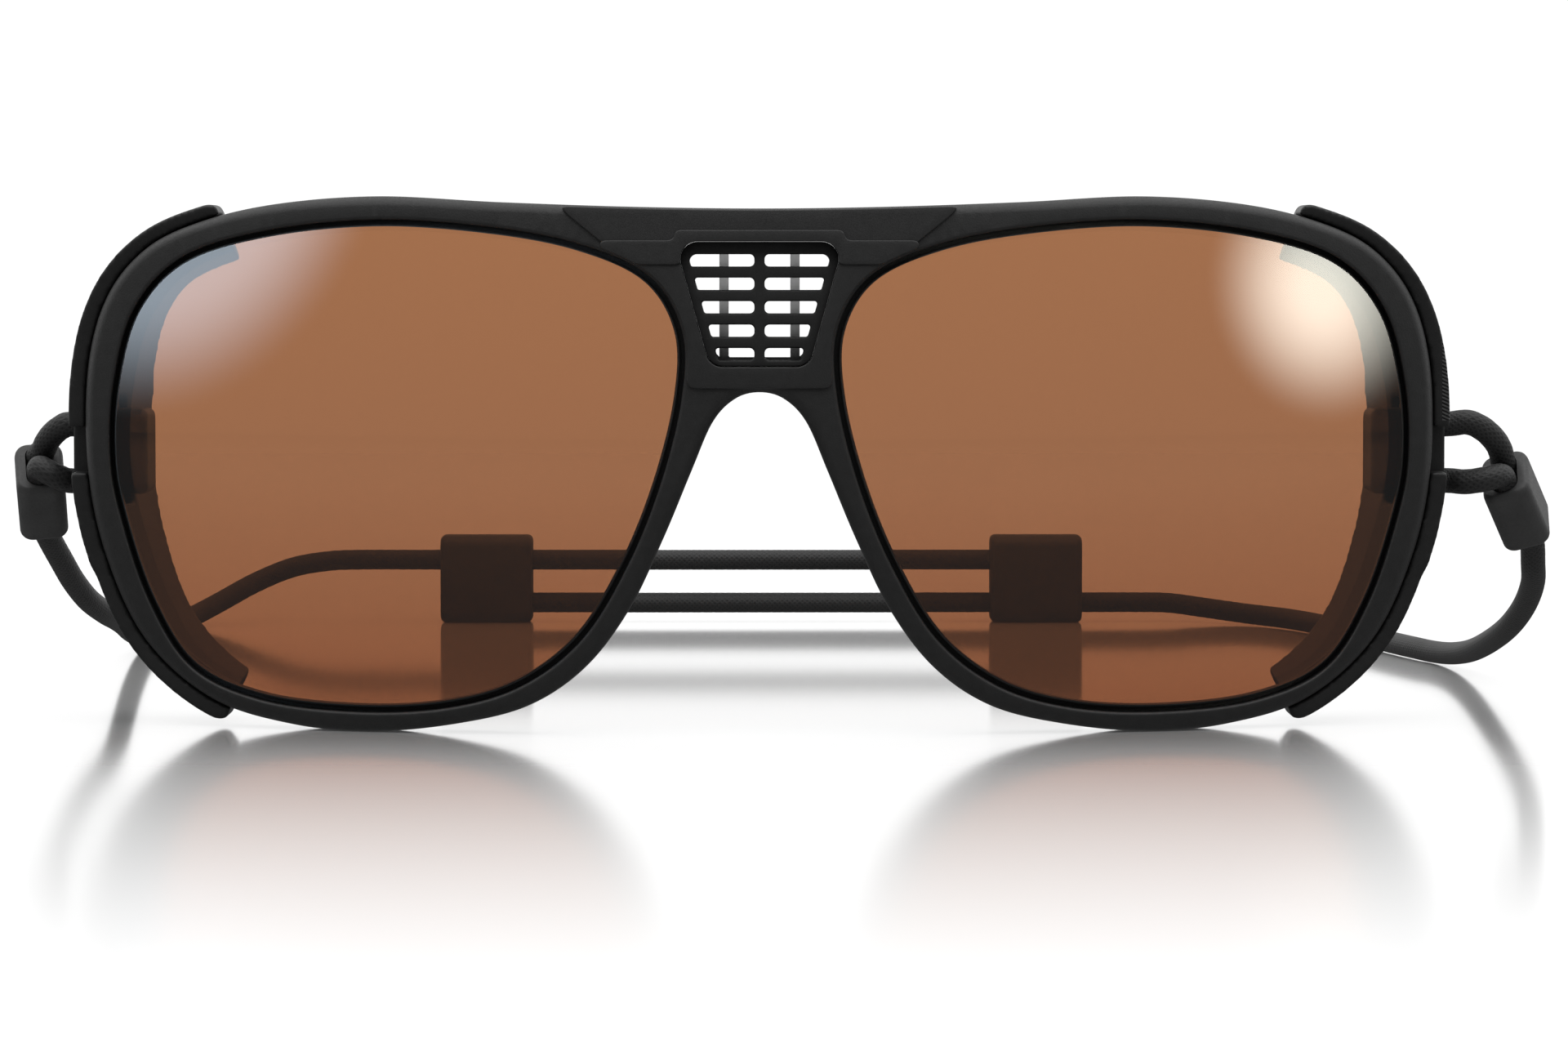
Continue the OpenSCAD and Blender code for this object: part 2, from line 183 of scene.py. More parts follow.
def dress(piece, material, body, replaces=(), blend=None, sharp=None):
    """Shades a piece, gives it its material, and ties it to its body; a piece given a blend is left untied,
    with its place baked into its points.
    """
    mesh = piece.data
    bm = bmesh.new()
    bm.from_mesh(mesh)
    bmesh.ops.recalc_face_normals(bm, faces=bm.faces)
    bm.to_mesh(mesh)
    bm.free()
    mesh.materials.clear()
    mesh.materials.append(material)
    mesh.shade_smooth()
    if sharp:
        mesh.set_sharp_from_angle(angle=math.radians(sharp))
        level = piece.modifiers.new("level caps", "WEIGHTED_NORMAL")
        level.keep_sharp = True
    if blend:
        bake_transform(piece)
    else:
        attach(piece, body)
    if replaces:
        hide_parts(*replaces)
    return piece


class Shell:
    """Collects a closed mesh made of rings, one wall for each edge of a solid, and flat caps."""

    def __init__(self, place):
        self.place = place
        self.points = []
        self.faces = []

    def add(self, flat, depth):
        """Places a row of flat points at a depth, and returns their numbers."""
        first = len(self.points)
        self.points.extend(self.place(flat, np.full(len(flat), depth)))
        return np.arange(first, first + len(flat))

    def wall(self, outline, profile):
        """Joins rings of an outline along a profile of outward distance and depth. Returns both end rings."""
        flats = [grown(outline, distance) for distance, _ in profile]
        rings = [self.add(flat, depth) for flat, (_, depth) in zip(flats, profile)]
        for a, b in zip(rings[:-1], rings[1:]):
            self.faces.extend(zip(a, np.roll(a, -1), np.roll(b, -1), b))
        return (flats[0], rings[0]), (flats[-1], rings[-1])

    def cap(self, depth, edges, spacing):
        """Fills the area between an outer ring and the holes in it at a depth."""
        flats = [flat for flat, _ in edges]
        known = np.vstack(flats)
        numbers = np.concatenate([ring for _, ring in edges])
        low, high = flats[0].min(axis=0), flats[0].max(axis=0)
        grid = np.stack(np.meshgrid(*[np.arange(a + spacing / 2, b, spacing) for a, b in zip(low, high)]), -1)
        grid = grid.reshape(-1, 2)
        keep = inside(grid, flats[0])
        for hole in flats[1:]:
            keep &= ~inside(grid, hole)
        grid = grid[keep]
        if len(grid):
            gap = np.array([np.linalg.norm(known - g, axis=1).min() for g in grid])
            grid = grid[gap > spacing * 0.45]
        lines, first = [], 0
        for flat in flats:
            n = len(flat)
            lines += [(first + i, first + (i + 1) % n) for i in range(n)]
            first += n
        everything = np.vstack([known, grid])
        made = delaunay_2d_cdt([Vector(p) for p in everything], lines, [], 0, 1e-7)
        added = np.array([made[0][i] for i, origins in enumerate(made[3]) if not origins]).reshape(-1, 2)
        fresh = iter(range(len(everything), len(everything) + len(added)))
        source = [origins[0] if origins else next(fresh) for origins in made[3]]
        everything = np.vstack([everything, added])
        if len(grid) or len(added):
            numbers = np.concatenate([numbers, self.add(np.vstack([grid, added]), depth)])
        triangles = np.array([[source[i] for i in face] for face in made[2]])
        middles = everything[triangles].mean(axis=1)
        a, b, c = (everything[triangles[:, k]] for k in range(3))
        doubled = (b[:, 0] - a[:, 0]) * (c[:, 1] - a[:, 1]) - (b[:, 1] - a[:, 1]) * (c[:, 0] - a[:, 0])
        keep = inside(middles, flats[0]) & (abs(doubled) > 1e-5)
        for hole in flats[1:]:
            keep &= ~inside(middles, hole)
        self.faces.extend(numbers[triangles[keep]])


def fillet(radius, steps=5):
    """A quarter round from a front face to a wall, as outward distance and depth."""
    angles = np.linspace(0, math.pi / 2, steps + 1)
    return [(radius * (math.sin(a) - 1), radius * (1 - math.cos(a))) for a in angles]


def edge(front, back, front_r, back_r, side=1, offset=0.0):
    """A wall's profile between two depths with rounded edges. side is -1 for a hole."""
    ahead = [(side * d + offset, front + depth) for d, depth in fillet(front_r)]
    behind = [(side * d + offset, back - depth) for d, depth in fillet(back_r)]
    return ahead + behind[::-1]


# ---- materials ---------------------------------------------------------------


class Nodes:
    """A new material with a Principled shader, and short ways to add nodes to it."""

    def __init__(self, name):
        self.material = bpy.data.materials.new(name)
        self.material.use_nodes = True
        self.tree = self.material.node_tree
        self.shader = self.tree.nodes["Principled BSDF"]
        self.coordinates = self.tree.nodes.new("ShaderNodeTexCoord")

    def set(self, **values):
        for key, value in values.items():
            self.shader.inputs[key.replace("_", " ")].default_value = value

    def add(self, kind, settings=None, **inputs):
        node = self.tree.nodes.new("ShaderNode" + kind)
        for key, value in (settings or {}).items():
            setattr(node, key, value)
        for key, value in inputs.items():
            socket = node.inputs[key.replace("_", " ")]
            if isinstance(value, bpy.types.NodeSocket):
                self.tree.links.new(value, socket)
            else:
                socket.default_value = value
        return node

    def link(self, source, name):
        self.tree.links.new(source, self.shader.inputs[name])

    def math(self, operation, a, b):
        node = self.tree.nodes.new("ShaderNodeMath")
        node.operation = operation
        for socket, value in zip(node.inputs, (a, b)):
            if isinstance(value, bpy.types.NodeSocket):
                self.tree.links.new(value, socket)
            else:
                socket.default_value = value
        return node.outputs[0]

    def ramp(self, source, stops):
        """A colour ramp, with stops of a place and a grey or a colour."""
        node = self.add("ValToRGB", Fac=source)
        while len(node.color_ramp.elements) < len(stops):
            node.color_ramp.elements.new(0.5)
        for element, (place, colour) in zip(node.color_ramp.elements, stops):
            element.position = place
            if isinstance(colour, (int, float)):
                colour = (colour,) * 3
            element.color = (*colour, 1)
        return node.outputs["Color"]

    def noise(self, scale, detail=2.0, source="Object"):
        node = self.add("TexNoise", Vector=self.coordinates.outputs[source], Scale=scale, Detail=detail)
        return node.outputs["Fac"]

    def bump(self, height, distance, strength=1.0, normal=None):
        node = self.add("Bump", Height=height, Distance=distance, Strength=strength)
        if normal:
            self.tree.links.new(normal, node.inputs["Normal"])
        return node.outputs["Normal"]

    def axes(self, source="Object"):
        node = self.add("SeparateXYZ", Vector=self.coordinates.outputs[source])
        return node.outputs


def grainy_plastic(name, dark, light, roughness, grain, ribbed=False):
    """Matte moulded plastic with a fine grain. A ribbed one has fine slanting ribs beside the right temple.
    """
    made = Nodes(name)
    fine = made.noise(5200, 3)
    made.link(made.ramp(made.noise(900, 4), [(0.3, dark), (0.7, light)]), "Base Color")
    made.link(made.ramp(fine, [(0.3, roughness - 0.08), (0.7, roughness + 0.08)]), "Roughness")
    normal = made.bump(fine, grain * MM)
    if ribbed:
        x, _, z = made.axes()
        slope = made.math("ADD", made.math("MULTIPLY", z, 15500), made.math("MULTIPLY", x, 7000))
        wave = made.math("SINE", slope, 0)
        near = made.math("GREATER_THAN", x, 75.2 * MM)
        above = made.math("GREATER_THAN", z, 33.4 * MM)
        below = made.math("LESS_THAN", z, 45 * MM)
        there = made.math("MULTIPLY", near, made.math("MULTIPLY", above, below))
        normal = made.bump(made.math("MULTIPLY", wave, there), 0.06 * MM, normal=normal)
    made.link(normal, "Normal")
    made.set(IOR=1.46)
    return made.material


def painted_light_plastic(name, low, high):
    """Matte plastic in the vent bars, with painted light: paler towards the top as if lit from above, and
    painted shade towards the bottom.
    """
    made = Nodes(name)
    _, _, z = made.axes()
    height = made.add("MapRange", Value=z, From_Min=40 * MM, From_Max=50 * MM)
    grain = made.math("MULTIPLY", made.noise(4000, 3), 0.08)
    # Painted light and shade: the colour goes from dark at the bottom to pale at the top, with a little
    # random grain.
    made.link(made.ramp(made.math("ADD", height.outputs["Result"], grain), [(0.1, low), (0.8, high)]),
              "Base Color")
    made.link(made.bump(made.noise(5200, 3), 0.01 * MM), "Normal")
    made.set(Roughness=0.6)
    return made.material


def copper_glass(name):
    """Tinted lens, a little paler at the top than at the bottom: the gradient is partly the lens's own tint
    and partly painted shade for the darker floor and reflections seen through its lower part.
    """
    made = Nodes(name)
    _, _, z = made.axes()
    height = made.math("MULTIPLY", z, 1 / (58 * MM))
    cloud = made.math("MULTIPLY", made.noise(60, 2), 0.04)
    # Darker towards the bottom: partly tint, partly painted shade.
    tint_and_painted_shade = [(0.05, (0.242, 0.080, 0.032)), (0.5, (0.314, 0.133, 0.061)), (0.97, (0.352, 0.150, 0.065))]
    made.link(made.ramp(made.math("ADD", height, cloud), tint_and_painted_shade), "Base Color")
    made.set(Transmission_Weight=1.0, IOR=1.59, Roughness=0.0)
    return made.material


def woven(name, dark, light):
    """Fine braid, with yarns that cross at a slant. U runs along the cord and V round it, in turns."""
    made = Nodes(name)
    u, v, _ = made.axes("UV")
    along = made.math("MULTIPLY", u, 2 * math.pi / (0.7 * MM))
    round_it = made.math("MULTIPLY", v, 2 * math.pi * 14)
    first = made.math("SINE", made.math("ADD", along, round_it), 0)
    second = made.math("SINE", made.math("SUBTRACT", along, round_it), 0)
    yarns = made.math("MAXIMUM", first, second)
    fibres = made.noise(9000, 3)
    height = made.math("ADD", yarns, made.math("MULTIPLY", fibres, 1.5))
    # Painted light and shade: the colour is pale on the yarns' crowns and dark where they dip between them;
    # the fibre noise is random tone.
    made.link(made.ramp(height, [(0.2, dark), (1.0, light)]), "Base Color")
    made.link(made.ramp(fibres, [(0.3, 0.5), (0.7, 0.65)]), "Roughness")
    made.link(made.bump(height, 0.02 * MM), "Normal")
    made.set(IOR=1.45)
    return made.material


def rubbery(name, dark, light):
    made = Nodes(name)
    fine = made.noise(3500, 4)
    made.link(made.ramp(made.noise(300, 5), [(0.3, dark), (0.7, light)]), "Base Color")
    made.link(made.ramp(fine, [(0.3, 0.5), (0.7, 0.64)]), "Roughness")
    made.link(made.bump(fine, 0.02 * MM), "Normal")
    return made.material


def brushed(name):
    made = Nodes(name)
    streaks = made.add("Mapping", Vector=made.coordinates.outputs["Object"], Scale=(900, 9000, 9000))
    noise = made.add("TexNoise", Vector=streaks.outputs["Vector"], Scale=1.0)
    made.link(made.ramp(noise.outputs["Fac"], [(0.3, 0.42), (0.7, 0.52)]), "Base Color")
    made.link(made.ramp(noise.outputs["Fac"], [(0.3, 0.25), (0.7, 0.4)]), "Roughness")
    made.set(Metallic=1.0)
    return made.material


frame_black = grainy_plastic("frame black", 0.008, 0.0105, 0.48, 0.02)
cover_black = grainy_plastic("cover black", 0.0085, 0.0105, 0.45, 0.012)
# Darker than the frame's black: painted shade for the recess the louvre sits in.
vent_black_painted_shade = grainy_plastic("vent black", 0.0035, 0.005, 0.6, 0.01)
# Vent bars: grey, with painted light at the top and painted shade at the bottom.
rib_grey_painted_light = painted_light_plastic("rib grey", 0.05, 0.75)
shield_black = grainy_plastic("shield black", 0.005, 0.007, 0.46, 0.015, ribbed=True)
# Black for the lenses' side walls: painted shade for the dark groove between lens and rim.
lens_edge_painted_shade = grainy_plastic("edge black", 0.003, 0.004, 0.6, 0.01)
pad_black = rubbery("pad silicone", 0.006, 0.008)
bead_black = rubbery("bead rubber", 0.02, 0.027)
cord_black = woven("cord black", 0.006, 0.013)
loop_black = woven("loop black", 0.006, 0.014)
metal_grey = brushed("metal grey")
lens_copper = copper_glass("lens copper")

# ---- cords -------------------------------------------------------------------

CORD_R = 1.4
CORD_RELIEF = 0.03
CORD_SIDES = 40
CORD_STEP = 0.2
CURVE_STEPS = 24
BEAD_W, BEAD_D, BEAD_L = 5.4, 7.2, 8.8
BEAD_CENTRE = {"left": (-80.7, 14, 25), "right": (84.95, 13, 23.95)}
BEAD_TILT = {"left": 45, "right": 41}
BEAD_LEAN = {"left": -4, "right": -15}
BEAD_TURN = {"left": 7, "right": -17}
BEAD_FLOOR = 1.8
STRAND_GAP = 3.1
CRIMP_L = 2.4
CRIMP_Z = BEAD_FLOOR - BEAD_L / 2
HOLE_R = 1.5
LUG_HOLE_Y, LUG_HOLE_Z, LUG_FLOOR, LUG_FACE = 8.0, (26.5, 32.8), 72.5, 76.0
SLIDER_X = {"left": -38.2, "right": 38.7}
SLIDER_Y = 169.0
SLIDER_W, SLIDER_H, SLIDER_D = 12.8, 12.2, 6.4
SLIDER_HOLES = (2.7, 8.7)
STOP_L, STOP_WALL, STOP_R = 3.0, 3.6, 2.2

ROUTES = {
    "left": [
        (-79.9, 27, 16.2), (-79.3, 32.5, 13.7), (-78.4, 38.5, 11.3), (-77.5, 47, 9.3),
        (-77.7, 60, 7.7), (-78.7, 77, 5.9), (-79.6, 94, 3.8), (-80.2, 110, 2.2), (-80.4, 124, 1.5),
        (-80.2, 137, 1.5), (-79.2, 147, 1.5), (-77.6, 155, 1.9), (-74.8, 162, 3.3), (-70.5, 167, 5.6),
        (-65.5, 169, 7.6), (-60.5, 169, 8.5), (-56, 169, 8.7), (-47, 169, 8.7), (-38, 169, 8.7),
    ],
    "right": [
        (87.9, 20, 16.6), (88.7, 26, 14), (88.9, 34, 11), (88.5, 43, 8.1), (87.9, 54, 5.6),
        (87.3, 68, 3.3), (86.5, 80, 2), (85.2, 89, 1.5), (83.4, 97, 1.5), (81.3, 108, 1.5),
        (78.9, 122, 1.5), (76.1, 139, 1.5), (72.6, 152, 1.5), (67.6, 161.5, 1.6),
        (62, 167, 2.1), (57.5, 169, 2.6), (53, 169, 2.7), (46, 169, 2.7), (38, 169, 2.7),
    ],
}
LOOP_ROUTES = {
    "left": (
        [(-80.27, 8.75, 27.75), (-79.8, 7.4, 27.9), (-78.8, 6.8, 27.4), (-77.8, 7.2, 26.9)],
        [(-80.1, 11, 29.7), (-79.5, 10, 30.8), (-78.6, 9, 31.8), (-77.6, 8.3, 32.5)],
    ),
    "right": (
        [(82.85, 8.6, 26.9), (82, 7.3, 27), (80.6, 6.5, 26.7), (78.5, 6.9, 26.4)],
        [(82.8, 10.2, 29.8), (81.9, 9, 31.1), (80.5, 8.2, 32.3), (78.8, 7.9, 33)],
    ),
}


def bead_points(side, points):
    """Places points of a bead's own frame, whose Z runs out of its mouth."""
    tilt, lean, turn = (math.radians(d[side]) for d in (BEAD_TILT, BEAD_LEAN, BEAD_TURN))
    p = np.array(points, float).reshape(-1, 3)
    y = p[:, 1] * math.cos(tilt) - p[:, 2] * math.sin(tilt)
    z = p[:, 1] * math.sin(tilt) + p[:, 2] * math.cos(tilt)
    x = p[:, 0] * math.cos(lean) + z * math.sin(lean)
    placed = np.stack([x * math.cos(turn) - y * math.sin(turn), x * math.sin(turn) + y * math.cos(turn),
                       z * math.cos(lean) - p[:, 0] * math.sin(lean)], axis=1)
    return placed + np.array(BEAD_CENTRE[side])


def tube(path, radius, sides, relief):
    """Points, faces and UVs of a closed braided tube along a path of evenly placed points."""
    along = np.gradient(path, axis=0)
    along /= np.linalg.norm(along, axis=1)[:, None]
    across = np.cross(along[0], (0.31, 0.17, 0.93))
    rings, walked = [], 0.0
    angles = np.arange(sides) * 2 * math.pi / sides
    for i, (centre, ahead) in enumerate(zip(path, along)):
        across = across - ahead * (across @ ahead)
        across /= np.linalg.norm(across)
        up = np.cross(ahead, across)
        if i:
            walked += np.linalg.norm(centre - path[i - 1])
        wave = 2 * math.pi * walked / 1.6
        yarns = np.maximum(np.sin(wave + 8 * angles), np.sin(wave - 8 * angles))
        r = radius - relief * (1 - yarns) / 2
        rings.append(centre + (r * np.cos(angles))[:, None] * across + (r * np.sin(angles))[:, None] * up)
    n = len(path)
    points = np.vstack(rings + [path[:1], path[-1:]])
    steps = np.arange(n) * length_of(path) / (n - 1) * MM
    faces, uv = [], []
    for i in range(n - 1):
        for k in range(sides):
            a, b = i * sides + k, i * sides + (k + 1) % sides
            faces.append((a, b, b + sides, a + sides))
            uv += [(steps[i], k / sides), (steps[i], (k + 1) / sides),
                   (steps[i + 1], (k + 1) / sides), (steps[i + 1], k / sides)]
    for k in range(sides):
        faces.append((n * sides, (k + 1) % sides, k))
        uv += [(0, 0.5), (0, (k + 1) / sides), (0, k / sides)]
        last = (n - 1) * sides
        faces.append((n * sides + 1, last + k, last + (k + 1) % sides))
        uv += [(steps[-1], 0.5), (steps[-1], k / sides), (steps[-1], (k + 1) / sides)]
    return points, faces, uv


def stop_x(side):
    return SLIDER_X[side] + SIDES[side] * (SLIDER_W / 2 - STOP_WALL - STOP_L)


def make_cord(name, path, replaces, blend):
    path = evenly(path, CORD_STEP)
    points, faces, uv = tube(path, CORD_R, CORD_SIDES, CORD_RELIEF)
    piece = make_piece(name, points, faces, cord_black, "glasses", "cord", [replaces], blend, uv)
    return piece, path


for side, sign in SIDES.items():
    tail = bead_points(side, [(0, 0, CRIMP_Z), (0, 0, -BEAD_L / 2 - 1.6)])
    route = smooth_curve(np.vstack([tail, ROUTES[side]]), CURVE_STEPS)
    bend = ("glasses", "loop_end_" + side, route[len(route) // 3] * MM,
            bead_points(side, [(0, 0, -BEAD_L / 2)])[0] * MM)
    piece, path = make_cord("neck_cord_" + side, route, "cord_" + side, bend)

    strands = []
    for k, route in enumerate(LOOP_ROUTES[side]):
        inner = bead_points(side, [(0, (k - 0.5) * STRAND_GAP, z)
                                   for z in (CRIMP_Z + CRIMP_L + 0.1, BEAD_L / 2 - 0.3)])
        outer = [(sign * d, LUG_HOLE_Y, LUG_HOLE_Z[k]) for d in (LUG_FACE + 0.6, LUG_FLOOR + 0.05)]
        path = evenly(smooth_curve(np.vstack([inner, route, outer]), CURVE_STEPS), CORD_STEP)
        strands.append(tube(path, CORD_R, CORD_SIDES, CORD_RELIEF))
    (points, faces, uv), (more, extra, more_uv) = strands
    extra = [tuple(i + len(points) for i in face) for face in extra]
    bend = ("glasses", "loop_end_" + side, Vector((sign * LUG_FACE, LUG_HOLE_Y, 30)) * MM,
            bead_points(side, [(0, 0, BEAD_L / 2)])[0] * MM)
    make_piece("end_loop_" + side, np.vstack([points, more]), faces + extra, loop_black, "glasses", "cord",
               ["loop_" + side], bend, uv + more_uv)

for name, side, other, height in (("strand_upper", "left", "right", SLIDER_HOLES[1]),
                                  ("strand_lower", "right", "left", SLIDER_HOLES[0])):
    start, end = SIDES[side] * 38.0, stop_x(other)
    path = np.array([(start, SLIDER_Y, height), (end, SLIDER_Y, height)])
    bend = ("glasses", "adjuster_" + other, Vector((SIDES[side] * 30, SLIDER_Y, height)) * MM,
            Vector((SIDES[other] * 30, SLIDER_Y, height)) * MM)
    piece, path = make_cord("neck_" + name, path, name, bend)

# ---- outlines of the front ---------------------------------------------------

WRAP_R, WRAP_Z, FRONT_Y = 160.0, 30.0, -19.0
RIM = 6.0
LENS_FRONT, LENS_STEP, LENS_BACK = 0.6, 1.9, 3.1
REVEAL, GROOVE, LAP = 0.5, 1.3, 0.3

FRAME_HALF = [
    (0, 56.6), (14, 56.8), (28, 57.3), (41, 57.95), (52, 57.2), (60.4, 55.4), (67, 52.4),
    (71.6, 47), (73.8, 39), (73.8, 28), (71.8, 18.6), (67.4, 9.5), (60, 3.2), (51, 0.6),
    (42, 0.02), (33, 1), (25, 3.1), (18.8, 7.3), (14, 13.6), (10.3, 21.3), (7.3, 28.5),
    (5, 33.8), (2.6, 36.3), (0, 37),
]
LENS_OUTLINE = [
    (70.6, 29.5), (69.4, 23), (66.3, 14), (61.7, 7), (54, 3.7), (43.7, 2.7), (34, 3.3),
    (26, 5.7), (19.4, 10.8), (14.5, 18.8), (11, 27.5), (8.8, 36.5), (8.8, 43.5), (12.2, 49),
    (19.5, 52.3), (29, 54.1), (41, 54.9), (53, 53.8), (62.5, 51), (67.9, 45.5), (70.2, 37.5),
]
VENT_CORNERS = [(6.6, 51.2), (3.9, 41.6)]
VENT_R = 1.9


def wrapped(flat, depth):
    """Places front view points at depths behind the wrapped front surface."""
    r = WRAP_R - depth
    y = FRONT_Y + WRAP_R - np.sqrt(r**2 - flat[:, 0] ** 2 - (flat[:, 1] - WRAP_Z) ** 2)
    return np.stack([flat[:, 0], y, flat[:, 1]], axis=1)


def flipped(points):
    return turned(np.array(points, float) * (-1, 1))


def hull_of(circles, spacing):
    """Outline round circles given as x, z and radius."""
    made = []
    for angle in np.arange(720) * math.pi / 360:
        ahead = np.array([math.cos(angle), math.sin(angle)])
        c = max(circles, key=lambda c: ahead @ c[:2] + c[2])
        made.append(np.array(c[:2]) + c[2] * ahead)
    return evenly(made, spacing, closed=True)


def vent_line(growth, spacing=0.25):
    return hull_of([(s * x, z, VENT_R + growth) for x, z in VENT_CORNERS for s in (-1, 1)], spacing)


def circle(x, z, radius, count=48):
    angles = np.arange(count) * 2 * math.pi / count
    return np.stack([x + radius * np.cos(angles), z + radius * np.sin(angles)], axis=1)


frame_points = FRAME_HALF + [(-x, z) for x, z in FRAME_HALF[-2:0:-1]]
frame_line = evenly(smooth_curve(turned(frame_points), 16, True), 0.45, True)
lens_line = evenly(smooth_curve(turned(LENS_OUTLINE), 16, True), 0.45, True)
LENS_LINES = {"left": flipped(lens_line), "right": lens_line}


def joined(shells):
    points, faces = [], []
    for shell in shells:
        faces += [tuple(int(i) + len(points) for i in face) for face in shell.faces]
        points += list(shell.points)
    return points, faces


def plain_solid(place, outline, profile, spacing):
    """A closed solid without holes."""
    shell = Shell(place)
    front, back = shell.wall(outline, profile)
    shell.cap(profile[0][1], [front], spacing)
    shell.cap(profile[-1][1], [back], spacing)
    return shell


# ---- frame and lugs ----------------------------------------------------------

LUG_INNER = [(67, 2.5, 25.3), (73.2, 11.5, 34.6)]
LUG_OUTER = [(71, 5.3, 24.4), (76, 11.5, 35.3)]


def box_outline(low, high, radius, spacing=0.25):
    corners = [(low[0], low[1]), (high[0], low[1]), (high[0], high[1]), (low[0], high[1])]
    return rounded(corners, [radius] * 4, spacing)


def lug_shells(side):
    sign = SIDES[side]

    def place_from(face):
        return lambda flat, depth: np.stack([sign * (face - depth), flat[:, 0], flat[:, 1]], axis=1)

    outer = Shell(place_from(LUG_OUTER[1][0]))
    depth = LUG_OUTER[1][0] - LUG_OUTER[0][0]
    front, back = outer.wall(box_outline(LUG_OUTER[0][1:], LUG_OUTER[1][1:], 1.2), edge(0, depth, 0.3, 0.3))
    mouths = []
    floor = LUG_FACE - LUG_FLOOR
    for z in LUG_HOLE_Z:
        bore = [(-d, deep) for d, deep in fillet(0.12)] + [(0, floor)]
        mouth, end = outer.wall(circle(LUG_HOLE_Y, z, HOLE_R), bore)
        outer.cap(floor, [end], 0.8)
        mouths.append(mouth)
    outer.cap(0, [front] + mouths, 0.8)
    outer.cap(depth, [back], 0.8)
    depth = LUG_INNER[1][0] - LUG_INNER[0][0]
    outline = box_outline(LUG_INNER[0][1:], LUG_INNER[1][1:], 1.4)
    return [outer, plain_solid(place_from(LUG_INNER[1][0]), outline, edge(0, depth, 0.6, 0.8), 0.8)]


def frame_shell():
    shell = Shell(wrapped)
    fronts, backs = [], []
    for outline, profile in (
        (frame_line, edge(0, RIM, 1.1, 0.9)),
        *((LENS_LINES[side], lens_hole_profile()) for side in SIDES),
        (vent_line(0), edge(0, RIM, 0.3, 0.3, side=-1)),
    ):
        front, back = shell.wall(outline, profile)
        fronts.append(front)
        backs.append(back)
    shell.cap(0, fronts, 1.4)
    shell.cap(RIM, backs, 1.4)
    return shell


def lens_hole_profile():
    """From the rounded front of the rim, down past the groove, to the lap behind the lens."""
    ahead = [(REVEAL - d, depth) for d, depth in fillet(0.45)]
    groove = [(REVEAL, LENS_STEP - 0.05), (GROOVE + 0.05, LENS_STEP - 0.05),
              (GROOVE + 0.05, LENS_BACK + 0.05), (-LAP, LENS_BACK + 0.05)]
    behind = [(-LAP - d, RIM - depth) for d, depth in fillet(0.6)]
    return ahead + groove + behind[::-1]


points, faces = joined([frame_shell()] + lug_shells("left") + lug_shells("right"))
make_piece("front_frame", points, faces, frame_black, "glasses", "frame", ["frame_front"], sharp=SHARP)



def follow_wrap(piece):
    """Gives the two faces of a lens the normals of the round surfaces they follow."""
    mesh = piece.data
    middle = Vector((0, FRONT_Y + WRAP_R, WRAP_Z)) * MM
    normals = [corner.vector.copy() for corner in mesh.corner_normals]
    for face in mesh.polygons:
        if len(face.vertices) == 3:
            for loop in face.loop_indices:
                out = (mesh.vertices[mesh.loops[loop].vertex_index].co - middle).normalized()
                normals[loop] = out if out.dot(face.normal) > 0 else -out
    mesh.normals_split_custom_set(normals)


lenses = bpy.data.collections.new("lenses")
for side in SIDES:
    profile = [(d, LENS_FRONT + depth) for d, depth in fillet(0.2)]
    profile += [(0, LENS_STEP), (GROOVE, LENS_STEP), (GROOVE, LENS_BACK)]
    shell = plain_solid(wrapped, LENS_LINES[side], profile, 1.4)
    piece = make_piece("tinted_lens_" + side, *joined([shell]), lens_copper, "glasses", "lens",
                       ["lens_" + side], sharp=8)
    piece.data.materials.append(lens_edge_painted_shade)
    piece.modifiers.clear()
    # Every wall face of the lens, its rounded front edge too, is painted black: shade in the groove round the
    # lens.
    for face in piece.data.polygons:
        if len(face.vertices) == 4:
            face.material_index = 1
    follow_wrap(piece)
    lenses.objects.link(piece)

# ---- bridge cover, vent and nose pads ----------------------------------------

COVER_SIDE = (21.9, 57.0)
COVER_CORNER = (13.9, 50.6)
COVER_FOOT = 37.4
BAND_TOP = [(0, 54.3), (9, 54.3), (9.2, 53.2), (17, 53.2)]
COVER_GAP = REVEAL + 0.3
COVER_DEPTH = (-0.4, 0.9)
BAND_DEPTH = (-0.7, 0.3)
FINE = 0.15


def mirror_outline(half):
    """A closed outline from its right half, which runs from the top middle down to the bottom middle."""
    half = np.array(half, float)
    other = half[::-1] * (-1, 1)
    return turned(np.vstack([half, other]))


def lens_side(top, bottom):
    """The edge beside the nose of the opening for the right lens, from a height down to another."""
    line = grown(LENS_LINES["right"], COVER_GAP)
    part = line[(line[:, 0] < 21) & (line[:, 1] > bottom) & (line[:, 1] < top)]
    return part[np.argsort(-part[:, 1])]


def diagonal(z):
    """The point of the cover's slanting edge at a height."""
    t = (z - COVER_CORNER[1]) / (COVER_SIDE[1] - COVER_CORNER[1])
    return (COVER_CORNER[0] + t * (COVER_SIDE[0] - COVER_CORNER[0]), z)


def cover_half():
    top = frame_line[(frame_line[:, 0] >= 0) & (frame_line[:, 0] <= COVER_SIDE[0])
                     & (frame_line[:, 1] > 50)]
    top = top[np.argsort(top[:, 0])] - (0, 0.15)
    side = lens_side(53, COVER_FOOT)
    crossing = next(i for i, p in enumerate(side) if diagonal(p[1])[0] > p[0] - 0.02)
    side = side[crossing:]
    start = diagonal(side[0][1])
    foot = (side[-1][0] - 0.1, COVER_FOOT)
    return [(0, top[0][1])] + list(top) + [diagonal(56.2), start] + list(side) + [foot, (0, COVER_FOOT)]


